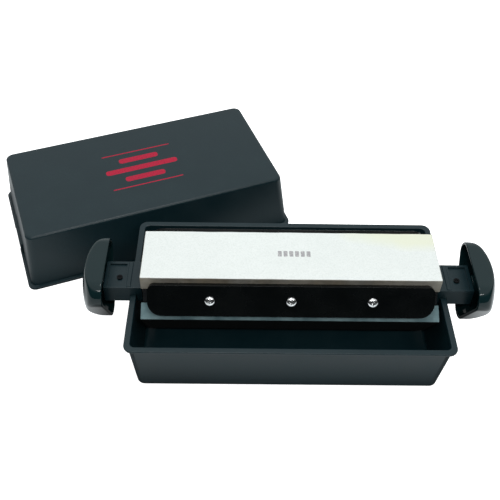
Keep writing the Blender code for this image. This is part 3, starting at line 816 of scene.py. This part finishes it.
INK = 0.04 * MM                         # how far a print stands proud of its surface
TICK = (3.9 * MM, 7.4 * MM, 0.7 * MM)   # length, width and corner
TICK_COUNT = 6
TICK_PITCH = 5.7 * MM
TICKS_AT = (3.8 * MM, 2.0 * MM)         # off the middle of the face
LID_BARS = ((31.0, 84.0, 1.6), (17.0, 48.0, 8.4), (0.0, 87.0, 8.4), (-17.0, 48.0, 8.4),
            (-31.0, 84.0, 1.6))         # millimetres: place across the lid, length and width
LID_BAR_CORNER = 0.4                    # as a share of the width


def printed_bar(length, width, corner):
    """The pattern that a row repeats: a thin plate, half sunk in the surface."""
    outline = rounded_rectangle(length / 2, width / 2, corner)
    return linked("bar_pattern", lofted([[(x, y, z) for x, y in outline] for z in (-INK, INK)]))


def row_tree(material):
    """A geometry tree that sets bars in a row."""
    tree, start, end = geometry_tree("printed_row", ("Bar", "NodeSocketObject"),
                                     ("Count", "NodeSocketInt"), ("Pitch", "NodeSocketFloat"))
    row = row_of(tree, start.outputs["Bar"], start.outputs["Count"], start.outputs["Pitch"])
    finish_tree(tree, row.outputs["Instances"], end, material)
    return tree


def printed_row(name, length, width, corner, count, pitch, material):
    """A row of printed bars along X, centred on the origin."""
    pattern = printed_bar(length, width, corner)
    row = grown(name, row_tree(material), bar=pattern, count=count, pitch=pitch)
    bpy.data.objects.remove(pattern)
    return row


def make_grade_mark():
    """The stone's grade as a short row of printed ticks, in the middle of its face."""
    mark = printed_row("grade_ticks", *TICK, TICK_COUNT, TICK_PITCH, GREY_INK)
    mark.data.transform(Matrix.Translation((*TICKS_AT, AXIS_Z + STONE_FACE_R)))
    return finished(mark, GREY_INK, "rotor", "medium_grit")


def make_lid_mark(place):
    """A plain red mark of three stacked bars between two rules, in the middle of the lid."""
    for number, (y, length, width) in enumerate(LID_BARS, 1):
        bar = printed_row("lid_mark_" + str(number), length * MM, width * MM,
                          LID_BAR_CORNER * width * MM, 1, 0.0, RED_INK)
        bar.data.transform(place @ Matrix.Translation((0, y * MM, LID_HEIGHT)))
        finished(bar, RED_INK, "lid", "body_plastic")


# ---------------------------------------------------------------- other pieces

BLOCK_ROUND = 0.35 * MM
BAR_ROUND = 0.4 * MM
HARDWARE = {"foot": RUBBER, "axle_bush": NYLON, "bush_screw": BLACKED_AND_SHADED, "handle_grub": DRAWN,
            "axle": DRAWN}              # how a node's name starts; the first that fits counts


def make_blocks_and_bars():
    """The plain mouldings: frame shapes with their edges rounded."""
    for hand in ("left", "right"):
        node = "bearing_block_" + hand
        finished(softened(copy_of(node), BLOCK_ROUND, 3), BODY, "carrier", "body_plastic", node)
    for place in BARS:
        node = "clamp_bar_" + place
        finished(softened(copy_of(node), BAR_ROUND, 3), BAR, "rotor", "bar_plastic", node)
    core = softened(copy_of("rotor_core"), BAR_ROUND, 2)
    finished(core, CORE, "rotor", "core_plastic", "rotor_core")


def dress_kept_nodes():
    """The small pieces keep their frame shape and get their finish."""
    for node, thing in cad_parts.items():
        for start, finish in HARDWARE.items():
            if node.startswith(start):
                for slot in thing.material_slots:
                    slot.material = finish
                break


# ---------------------------------------------------------------- stage

CAMERA_AT = Vector((-0.0505, -0.5002, 0.6473))
CAMERA_AROUND = math.radians(-1.19)
CAMERA_UP = math.radians(46.6)
CAMERA_ROLL = math.radians(1.51)
CAMERA_LENS = 53.42                     # both in millimetres
CAMERA_SENSOR = 36.0
FLOOR_HALF = 4.0
FLOOR_GLOW = 0.82
LIGHTS = {                              # each hangs at, points at, has these sizes, and this power
    "top_softbox": ((-0.1, 0.2, 1.2), (-0.05, 0.02, 0), (0.4, 0.3), 3.2),
    "front_strip": ((0.08, -0.78, 1.15), (0, 0, 0.05), (1.2, 0.07), 6.5),
}
# The bounce card is a glowing sheet seen only in reflections and bounce light; close to the tray and to
# the lid it is darkened as a painted shadow.
CARD_HALF = 1.2
CARD_DROP = 0.5 * MM                    # below the floor
CARD_COLOUR = (0.92, 0.98, 1.0, 1)
CARD_GLOW = (0.08, 1.1)                 # glow next to a plastic piece, where it is darkened as a painted shadow, and far from it
CARD_FADE = 45 * MM
TRAY_SHADE = (192 * MM, 79 * MM)        # half sizes of the painted shadows on the card
LID_SHADE = (157 * MM, 85 * MM)
ANY_HEIGHT = 10.0                       # half the height of those places: the card never passes it
TENT_COLOUR = (0.97, 0.99, 1.0, 1.0)
TENT_LEAN = 0.5                         # how far the bright part leans back
TENT_SPAN = (0.26, 0.6)                 # from the dim room to the full tent
TENT_GLOW = (0.04, 0.9)


def make_camera():
    """The camera, put by its place, the two angles that it looks along, and its roll."""
    data = bpy.data.cameras.new("camera")
    data.lens = CAMERA_LENS
    data.sensor_width = CAMERA_SENSOR
    data.clip_end = 20.0
    camera = bpy.data.objects.new("camera", data)
    bpy.context.scene.collection.objects.link(camera)
    back = Vector((math.sin(CAMERA_AROUND) * math.cos(CAMERA_UP),
                   -math.cos(CAMERA_AROUND) * math.cos(CAMERA_UP), math.sin(CAMERA_UP)))
    across = Vector((math.cos(CAMERA_AROUND), math.sin(CAMERA_AROUND), 0))
    upward = back.cross(across)
    right = math.cos(CAMERA_ROLL) * across + math.sin(CAMERA_ROLL) * upward
    up = math.cos(CAMERA_ROLL) * upward - math.sin(CAMERA_ROLL) * across
    turn = Matrix((right, up, back)).transposed().to_4x4()
    camera.matrix_world = Matrix.Translation(CAMERA_AT) @ turn
    bpy.context.scene.camera = camera


def soft_light(name, at, aim, size, power):
    """A rectangular lamp that points at a place."""
    data = bpy.data.lights.new(name, "AREA")
    data.shape = "RECTANGLE"
    data.size, data.size_y = size
    data.energy = power
    lamp = bpy.data.objects.new(name, data)
    bpy.context.scene.collection.objects.link(lamp)
    lamp.location = at
    lamp.rotation_euler = (Vector(aim) - Vector(at)).to_track_quat("-Z", "Y").to_euler()


def sheet(name, half, z):
    """A flat square sheet at height z."""
    bm = bmesh.new()
    bmesh.ops.create_grid(bm, x_segments=1, y_segments=1, size=half)
    thing = linked(name, bm)
    thing.data.transform(Matrix.Translation((0, 0, z)))
    return thing


def make_stage():
    """A white floor that the pieces don't reflect, the glowing card with painted shadows that they do,
    the tent and the lamps.
    """
    floor = sheet("studio_floor", FLOOR_HALF, FLOOR_Z)
    material, tree, shader, where = new_finish("studio_white", Roughness=0.6)
    white = blended(tree, noise(tree, where, 3, 2), (0.97, 0.97, 0.97), (0.98, 0.98, 0.98))
    tree.links.new(white, shader.inputs["Base Color"])
    shader.inputs["Emission Color"].default_value = (1, 1, 1, 1)
    shader.inputs["Emission Strength"].default_value = FLOOR_GLOW
    floor.data.materials.append(material)
    floor.visible_diffuse = floor.visible_glossy = False
    make_bounce()
    make_world()
    for name, settings in LIGHTS.items():
        soft_light(name, *settings)
    bpy.context.scene.view_settings.view_transform = "Standard"


def distance_outside(tree, where, half, place):
    """How far a point lies outside an upright block of the given half sizes, put at place."""
    moved = add(tree, "ShaderNodeMapping", {"Vector": where, "Location": place.to_translation(),
                                            "Rotation": place.to_euler()}, vector_type="TEXTURE")
    vector = moved.outputs["Vector"]
    for step, other in (("ABSOLUTE", None), ("SUBTRACT", (*half, ANY_HEIGHT)), ("MAXIMUM", (0, 0, 0))):
        inputs = {0: vector, 1: other} if other else {0: vector}
        vector = add(tree, "ShaderNodeVectorMath", inputs, operation=step).outputs["Vector"]
    return add(tree, "ShaderNodeVectorMath", {0: vector}, operation="LENGTH").outputs["Value"]


def make_bounce():
    """The floor as the plastic sees it: a glowing card, bright, with a painted shadow close to the tray
    and to the lid.
    """
    card = sheet("floor_bounce", CARD_HALF, FLOOR_Z - CARD_DROP)
    material, tree, shader, where = new_finish("floor_glow", Roughness=0.9)
    shader.inputs["Base Color"].default_value = (0, 0, 0, 1)
    tray = distance_outside(tree, where, TRAY_SHADE, Matrix.Identity(4))
    lid = distance_outside(tree, where, LID_SHADE, lid_place())
    near = add(tree, "ShaderNodeMath", {0: tray, 1: lid}, operation="MINIMUM").outputs["Value"]
    shader.inputs["Emission Color"].default_value = CARD_COLOUR
    tree.links.new(spread(tree, near, 0.0, CARD_FADE, *CARD_GLOW), shader.inputs["Emission Strength"])
    card.data.materials.append(material)
    card.visible_camera = False


def make_world():
    """A bright tent overhead and behind, and a dim room near the horizon."""
    world = bpy.data.worlds.new("studio")
    bpy.context.scene.world = world
    world.use_nodes = True
    tree = world.node_tree
    direction = add(tree, "ShaderNodeTexCoord").outputs["Generated"]
    parts = add(tree, "ShaderNodeSeparateXYZ", {"Vector": direction}).outputs
    leaning = add(tree, "ShaderNodeMath", {0: parts["Y"], 1: TENT_LEAN, 2: parts["Z"]},
                  operation="MULTIPLY_ADD").outputs["Value"]
    tent = spread(tree, leaning, *TENT_SPAN, *TENT_GLOW)
    seen = add(tree, "ShaderNodeLightPath").outputs["Is Camera Ray"]
    glow = add(tree, "ShaderNodeMath", {0: tent, 1: seen}, operation="MAXIMUM").outputs["Value"]
    backdrop = tree.nodes["Background"]
    backdrop.inputs["Color"].default_value = TENT_COLOUR
    tree.links.new(glow, backdrop.inputs["Strength"])


# ---------------------------------------------------------------- assembly

make_camera()
make_stage()
make_tray()
LID_PLACE = lid_place()
make_lid(LID_PLACE)
make_lid_mark(LID_PLACE)
make_stone("oilstone_medium", "medium_stone", STATIONS[0], MEDIUM, "medium_grit", 1.0)
make_stone("oilstone_coarse", "coarse_stone", STATIONS[1], COARSE, "coarse_grit", 2.3)
make_stone("oilstone_fine", "fine_stone", STATIONS[2], FINE, "fine_grit", 4.1)
make_grade_mark()
make_screws()
make_blocks_and_bars()
for handle_side, handle_hand in ((-1, "left"), (1, "right")):
    make_handle(handle_side, handle_hand)
dress_kept_nodes()
